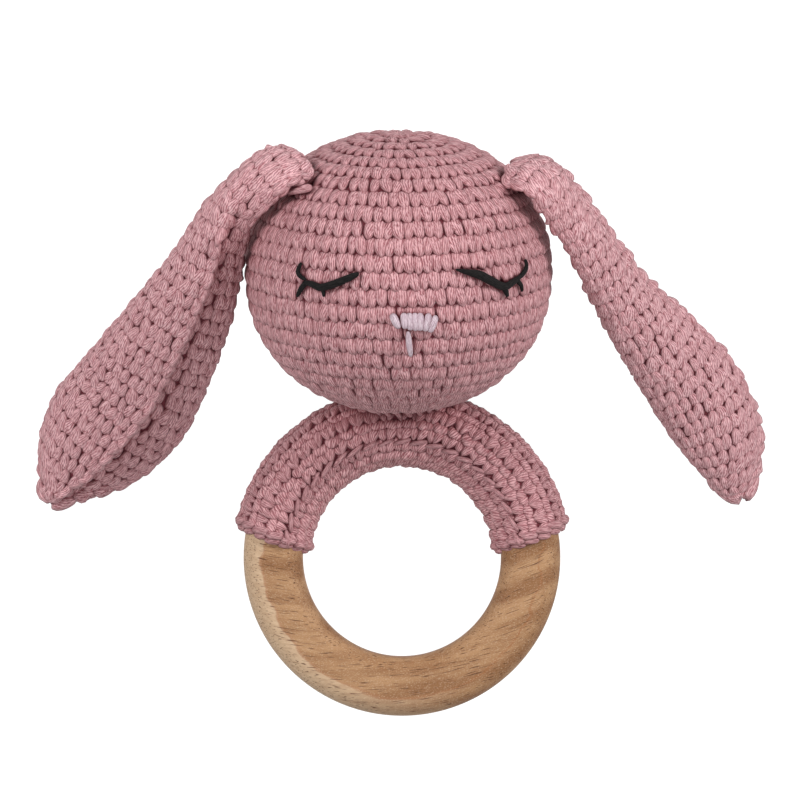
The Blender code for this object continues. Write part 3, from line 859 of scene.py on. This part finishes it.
def make_head(looks):
    rounds = head_rounds()
    third = len(rounds) // 3
    parts = {"crown": rounds[:third], "face": rounds[third : 2 * third], "chin": rounds[2 * third :]}
    yarn = looks["head_cotton"]
    for label, some in parts.items():
        stitches = crochet(f"head_crochet_{label}", head_surface, some, yarn, HEAD_LEAN, HEAD_RELIEF)
        settle(stitches, "head", "pink_cotton")
    around, along = HEAD_GRID
    backing = skin(
        "head_backing",
        head_surface,
        np.arange(around) / around,
        np.linspace(0.2, HEAD_RUN[-1] - 0.2, along),
        HEAD_BACKING_DEPTH,
        looks["backing"],
    )
    settle(backing, "head", "pink_cotton", "head_shell")


def ear_rounds(sleeve):
    total = sleeve.run[-1]
    count = round(total / EAR_ROUND_DEEP)
    deep = total / count
    rounds = []
    for i in range(count):
        perimeter = np.interp((i + 0.5) * deep, sleeve.run, sleeve.perimeter)
        stitches = max(EAR_LEAST_STITCHES, round(perimeter / STITCH_WIDE))
        scale = min(1.0, perimeter / stitches / STITCH_WIDE)
        rounds.append((stitches, (i + 1) * deep, -deep, EAR_DRIFT * i, 1.0, scale, 1.0))
    return rounds


def make_ear(side, stations, base_outline, outline, mirror, tip_reach, looks):
    sleeve = Sleeve(ear_rings(stations, base_outline, outline, mirror, tip_reach))
    body = f"{side}_ear"
    yarn = looks["ear_cotton"]
    stitches = crochet(f"{body}_crochet", sleeve, ear_rounds(sleeve), yarn, EAR_LEAN, EAR_RELIEF)
    settle(stitches, body, "ear_cotton")
    around, along = EAR_GRID
    backing = skin(
        f"{body}_backing",
        sleeve,
        np.arange(around) / around,
        np.linspace(0, sleeve.run[-1], along),
        EAR_BACKING_DEPTH,
        looks["backing"],
    )
    settle(backing, body, "ear_cotton", body)


def cover_rounds():
    rounds = []
    scale = COVER_STITCH_WIDE / STITCH_WIDE * COVER_YARN_SCALE
    for (low_deg, splay), (high_deg, _) in zip(COVER_ROWS, COVER_ROWS[1:]):
        start = math.radians(low_deg) * COVER_R
        deep = math.radians(high_deg - low_deg) * COVER_R
        middle = math.radians((low_deg + high_deg) / 2)
        reach = RING_MID_R + COVER_OFFSET + COVER_R * math.cos(middle)
        stitches = round(COVER_SPAN * reach / COVER_STITCH_WIDE)
        rounds.append((stitches, start, deep, COVER_FIRST, COVER_SHARE, scale, splay))
    return rounds


def make_cover(looks):
    yarn = looks["cover_cotton"]
    stitches = crochet("cover_crochet", cover_surface, cover_rounds(), yarn, COVER_LEAN, COVER_RELIEF)
    settle(stitches, "sleeve", "deep_pink_cotton")
    u = np.linspace(0.02, 0.98, COVER_LOOPS)
    v = np.full(COVER_LOOPS, math.radians(COVER_LOOPS_DEG) * COVER_R)
    loops = cover_chain("cover_loops", u, v, 1.15 / COVER_LOOPS, 1.3, -0.3, COVER_LOOP_R, yarn)
    settle(loops, "sleeve", "deep_pink_cotton")
    v = np.radians(np.linspace(-120, 210, COVER_END_STRANDS)) * COVER_R
    for label, end, side in (("right", 0.016, 1), ("left", 0.984, -1)):
        for row, inset, drop in (("lip", 0.0, -0.6), ("edge", 0.012, -1.5)):
            name = f"cover_{row}_{label}"
            u = np.full(COVER_END_STRANDS, end) - side * inset
            links = cover_chain(name, u, v, side * 0.014, 4.6, drop, COVER_END_YARN_R, yarn)
            settle(links, "sleeve", "deep_pink_cotton")
    along, around = COVER_GRID
    backing = skin(
        "cover_backing",
        cover_surface,
        np.linspace(0.012, 0.988, along),
        np.radians(np.linspace(*SLIT_END_DEG, around)) * COVER_R,
        COVER_BACKING_DEPTH,
        looks["backing"],
        closed=False,
    )
    settle(backing, "sleeve", "deep_pink_cotton", "ring_cover")


def rounded_square():
    """The wood's section as (outwards, up) points."""
    reach = RING_HALF - RING_CORNER_R
    outline = []
    for corner in range(4):
        start = math.pi / 2 * corner
        middle = start + math.pi / 4
        x = math.copysign(reach, math.cos(middle))
        y = math.copysign(reach, math.sin(middle))
        for step in range(RING_CORNER_POINTS):
            angle = start + math.pi / 2 * step / (RING_CORNER_POINTS - 1)
            outline.append((x + RING_CORNER_R * math.cos(angle), y + RING_CORNER_R * math.sin(angle)))
    return outline


def make_ring(looks):
    section = rounded_square()
    points = []
    faces = []
    count = len(section)
    for i in range(RING_SEGMENTS):
        turn = math.tau * i / RING_SEGMENTS
        for out, up in section:
            reach = RING_MID_R + out
            place = RING_CENTRE + (reach * math.cos(turn), reach * math.sin(turn), up)
            points.append(tuple(place * MM))
        here = i * count
        there = (i + 1) % RING_SEGMENTS * count
        for k in range(count):
            after = (k + 1) % count
            faces.append((here + k, there + k, there + after, here + after))
    mesh = bpy.data.meshes.new("beech_ring")
    mesh.from_pydata(points, [], faces)
    mesh.shade_smooth()
    layer = mesh.uv_layers.new(name="section")
    outwards = np.array([out for out, _ in section])
    index = np.zeros(len(mesh.loops), np.int32)
    mesh.loops.foreach_get("vertex_index", index)
    spot = np.column_stack([outwards[index % count], index // count / RING_SEGMENTS])
    layer.data.foreach_set("uv", spot.ravel().astype(np.float32))
    mesh.materials.append(looks["beech"])
    settle(new_object("beech_ring", mesh), "ring", "beech", "wooden_ring")


def laid(outline, lift):
    """A smooth line laid on the front of the head, as evenly spaced points and their normals."""
    flat = smooth_path(outline, FACE_STEPS)
    run = distance_along(flat)
    where = np.linspace(0, run[-1], FACE_KNOTS)
    even = np.column_stack([np.interp(where, run, flat[:, k]) for k in range(2)])
    return on_head(even, lift)


def make_face(looks):
    for side, lines in (("left", LEFT_EYE), ("right", RIGHT_EYE)):
        paths = [laid(points, EYE_LIFT) for points, _ in lines]
        radii = [line_radii for _, line_radii in lines]
        piece = strand(f"{side}_eye_yarn", paths, radii, looks["black_yarn"], ends=0.1)
        nodes = (f"{side}_eyelid", f"{side}_lash_1", f"{side}_lash_2")
        settle(piece, "head", "black_cotton", *nodes)
    paths = [laid(stitch, NOSE_LIFT) for stitch in NOSE_STITCHES]
    paths.append(laid(MOUTH_STITCH, MOUTH_LIFT))
    radii = [NOSE_YARN_R] * len(NOSE_STITCHES) + [MOUTH_YARN_R]
    piece = strand("nose_thread", paths, radii, looks["pale_yarn"])
    nodes = [f"nose_stitch_{i + 1}" for i in range(len(NOSE_STITCHES))]
    settle(piece, "head", "pale_cotton", "mouth_stitch", *nodes)


def make_ear_sewing(looks):
    """The strands that show where each ear is sewn down."""
    for side, lines in (("left", LEFT_SEWING), ("right", RIGHT_SEWING)):
        paths = [laid(line[:2], line[2]) for line in lines]
        radii = [SEWING_R] * len(paths)
        piece = strand(f"{side}_ear_sewing", paths, radii, looks["ear_cotton"], ends=0.15)
        settle(piece, "head", "pink_cotton", f"{side}_ear_seam")


def make_neck(looks):
    """The stitches under the chin, between the cover and the head; they ride no body."""
    neck_line = unit(HEAD_CENTRE - RING_CENTRE - (0, RING_MID_R + COVER_OFFSET, 0))
    neck_line[0] = 0
    depth_axis = np.cross(HEAD_SIDE, neck_line)
    middle = RING_CENTRE + (0, RING_MID_R + COVER_OFFSET, 0) + neck_line * (COVER_R + 0.4)
    line = np.linspace(-1, 1, NECK_KNOTS)[:, None]
    paths = []
    for i in range(NECK_STITCHES):
        turn = math.tau * i / NECK_STITCHES
        wide = NECK_HALF_WIDTH * math.cos(turn)
        deep = NECK_HALF_DEPTH * math.sin(turn)
        spot = middle + HEAD_SIDE * wide + depth_axis * deep - neck_line * (deep**2 * NECK_CURVE)
        slant = NECK_SLANT * (-HEAD_SIDE * math.sin(turn) + depth_axis * math.cos(turn))
        outward = unit(HEAD_SIDE * math.cos(turn) + depth_axis * math.sin(turn))
        path = spot + neck_line * line * NECK_HALF_LENGTH + slant * line
        path = path + outward * (NECK_BULGE - line**2)
        paths.append((path, np.repeat(outward[None], NECK_KNOTS, axis=0)))
    piece = strand("neck_stitches", paths, [NECK_YARN_R] * NECK_STITCHES, looks["head_cotton"])
    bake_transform(piece)
    settle(piece, None, "pink_cotton", "neck_seam")


def make_cover_seam(looks):
    u = np.linspace(0.03, 0.97, COVER_SEAM_STITCHES)
    v = np.full(COVER_SEAM_STITCHES, math.radians(COVER_SEAM_DEG) * COVER_R)
    reach = 1.2 / COVER_SEAM_STITCHES
    yarn = looks["cover_cotton"]
    seam = cover_chain("cover_seam_yarn", u, v, reach, 1.6, -0.75, COVER_SEAM_YARN_R, yarn)
    settle(seam, "sleeve", "deep_pink_cotton", "cover_seam")


# ---------------------------------------------------------------- stage, camera and lights


def make_stage():
    mesh = bpy.data.meshes.new("floor")
    corners = [(x * FLOOR_REACH, y * FLOOR_REACH, 0) for x, y in ((-1, -1), (1, -1), (1, 1), (-1, 1))]
    mesh.from_pydata(corners, [], [(0, 1, 2, 3)])
    mesh.materials.append(floor_look())
    floor = new_object("floor", mesh)
    floor.visible_diffuse = False


def make_camera():
    camera = bpy.data.cameras.new("camera")
    camera.lens = CAMERA_LENS
    camera.sensor_width = CAMERA_SENSOR
    camera.clip_start = 0.1
    camera.clip_end = 10
    distance = VIEW_WIDTH * camera.lens / camera.sensor_width
    holder = new_object("camera", camera)
    holder.location = (VIEW_MIDDLE[0], VIEW_MIDDLE[1], distance + VIEW_MIDDLE[2])
    bpy.context.scene.camera = holder


def make_lights():
    for name, place, size, power in LIGHTS:
        light = bpy.data.lights.new(name, "AREA")
        light.size = size
        light.energy = power
        holder = new_object(name, light)
        holder.location = place
        holder.rotation_mode = "QUATERNION"
        holder.rotation_quaternion = (Vector(LIGHT_AIM) - Vector(place)).to_track_quat("-Z", "Y")
    world = bpy.data.worlds.new("studio")
    world.use_nodes = True
    background = world.node_tree.nodes["Background"]
    background.inputs["Color"].default_value = (1, 1, 1, 1)
    background.inputs["Strength"].default_value = WORLD_STRENGTH
    bpy.context.scene.world = world
    bpy.context.scene.view_settings.view_transform = "Standard"


def make_looks():
    looks = {"backing": backing_shade_look(), "beech": beech_look()}
    for name, (*colours, sheen) in YARNS.items():
        looks[name] = yarn_look(name, *(linear(*colour) for colour in colours), sheen)
    return looks


def main():
    looks = make_looks()
    make_stage()
    make_camera()
    make_lights()
    make_head(looks)
    make_ear("right", RIGHT_EAR, RIGHT_SECTION, RIGHT_SECTION, 1, 4.2, looks)
    make_ear("left", LEFT_EAR, LEFT_BASE_SECTION, LEFT_SECTION, -1, 3.2, looks)
    make_cover(looks)
    make_ring(looks)
    make_face(looks)
    make_ear_sewing(looks)
    make_neck(looks)
    make_cover_seam(looks)


main()
